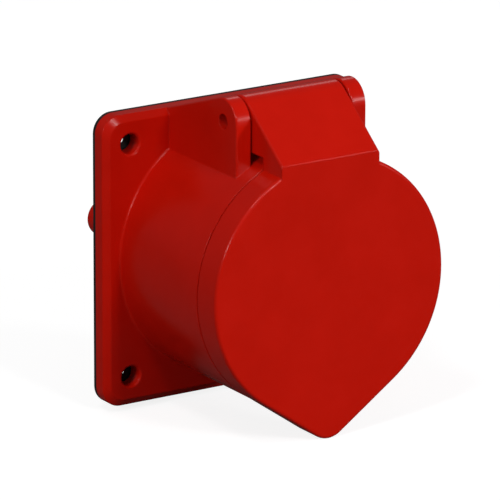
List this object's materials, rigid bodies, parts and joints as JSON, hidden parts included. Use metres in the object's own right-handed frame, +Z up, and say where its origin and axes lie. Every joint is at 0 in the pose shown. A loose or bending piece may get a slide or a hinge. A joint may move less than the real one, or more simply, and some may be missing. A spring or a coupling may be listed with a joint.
{
  "type": "industrial panel socket",
  "caption": "Panel-mounted power socket with a square flange, round barrel and a sprung hinged lid; contact tubes take round pins from the front and wires from behind.",
  "frame": {"origin": "centre of the four mounting holes on the panel plane, at the gasket's back face", "axes": "+Y into the panel, along the mounting holes; -Y towards the front; +Z up, towards the hinge; +X to the right from the front"},
  "size_m": [0.075, 0.0806, 0.0851],
  "materials": {
    "red_plastic": "satin",
    "red_plastic_rear": "satin",
    "dark_plastic": "satin",
    "black_rubber": "matte",
    "contact_brass": "turned",
    "pin_steel": "drawn",
    "spring_steel": "drawn",
    "clamp_steel": "stamped",
    "screw_steel": "zinc plated"
  },
  "bodies": {
    "socket": {"housing": "red_plastic", "flange_gasket": "black_rubber", "hinge_pin": "pin_steel", "lid_spring": "spring_steel", "contact_carrier": "dark_plastic", "terminal_block": "red_plastic_rear", "terminal_screws": "screw_steel", "carrier_screws": "screw_steel", "contact_l1": "contact_brass", "contact_ring_l1": "spring_steel", "wire_clamp_l1": "clamp_steel", "contact_l2": "contact_brass", "contact_ring_l2": "spring_steel", "wire_clamp_l2": "clamp_steel", "contact_l3": "contact_brass", "contact_ring_l3": "spring_steel", "wire_clamp_l3": "clamp_steel", "contact_earth": "contact_brass", "contact_ring_earth": "spring_steel", "wire_clamp_earth": "clamp_steel"},
    "lid": {"lid": "red_plastic", "lid_seal": "black_rubber"}
  },
  "joints": [
    {"name": "lid_hinge", "type": "hinge", "parent": "socket", "child": "lid", "pos_m": [0, -0.0304, 0.0401], "axis": [-1, 0, 0], "range_deg": [0, 145], "stiffness_Nm_per_rad": 0.02, "springref_deg": -57.3, "deforming": ["lid_spring"]}
  ]
}
